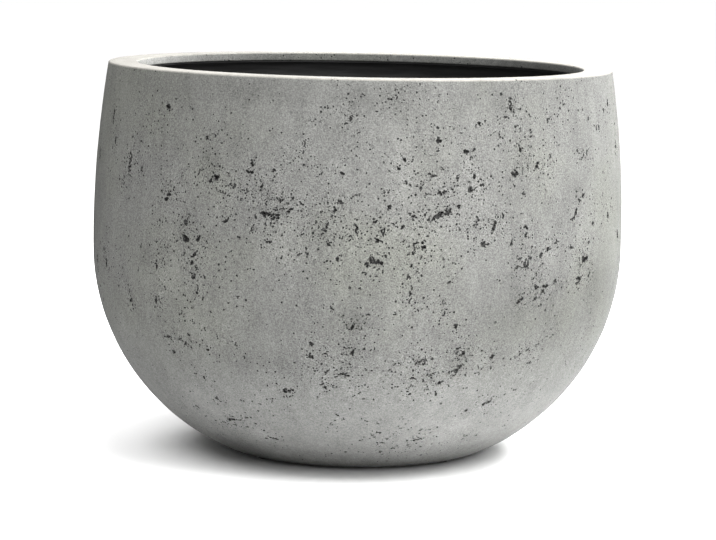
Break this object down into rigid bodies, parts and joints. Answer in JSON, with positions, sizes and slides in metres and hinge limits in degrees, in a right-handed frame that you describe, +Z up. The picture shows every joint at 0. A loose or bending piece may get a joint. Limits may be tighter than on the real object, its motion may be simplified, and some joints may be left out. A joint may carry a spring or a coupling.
{
  "type": "planter",
  "caption": "Round concrete floor planter: a swelling bowl of pitted grey cement with a flat turned-in rim, a black lining, a lift-out drain plug and rubber pads under its base.",
  "frame": {"origin": "on the floor, under the centre of the bowl, level with the undersides of the pads", "axes": "+Z up, along the axis of the bowl and of the drain hole; the bowl is round, and the pads lie on the diagonals between +X and +Y"},
  "size_m": [0.4799, 0.48, 0.348],
  "materials": {
    "cement_face": "matte",
    "fibre_cement": "matte",
    "sealing_coat": "satin",
    "plug_rubber": "matte",
    "pad_rubber": "matte"
  },
  "bodies": {
    "planter": {"face_coat": "cement_face", "backer_coat": "fibre_cement", "waterproof_lining": "sealing_coat", "foot_pad_1": "pad_rubber", "foot_pad_2": "pad_rubber", "foot_pad_3": "pad_rubber", "foot_pad_4": "pad_rubber"},
    "plug": {"drain_plug": "plug_rubber"}
  },
  "joints": [
    {"name": "plug_lift", "type": "slide", "parent": "planter", "child": "plug", "axis": [0, 0, 1], "range_m": [0, 0.36]}
  ]
}
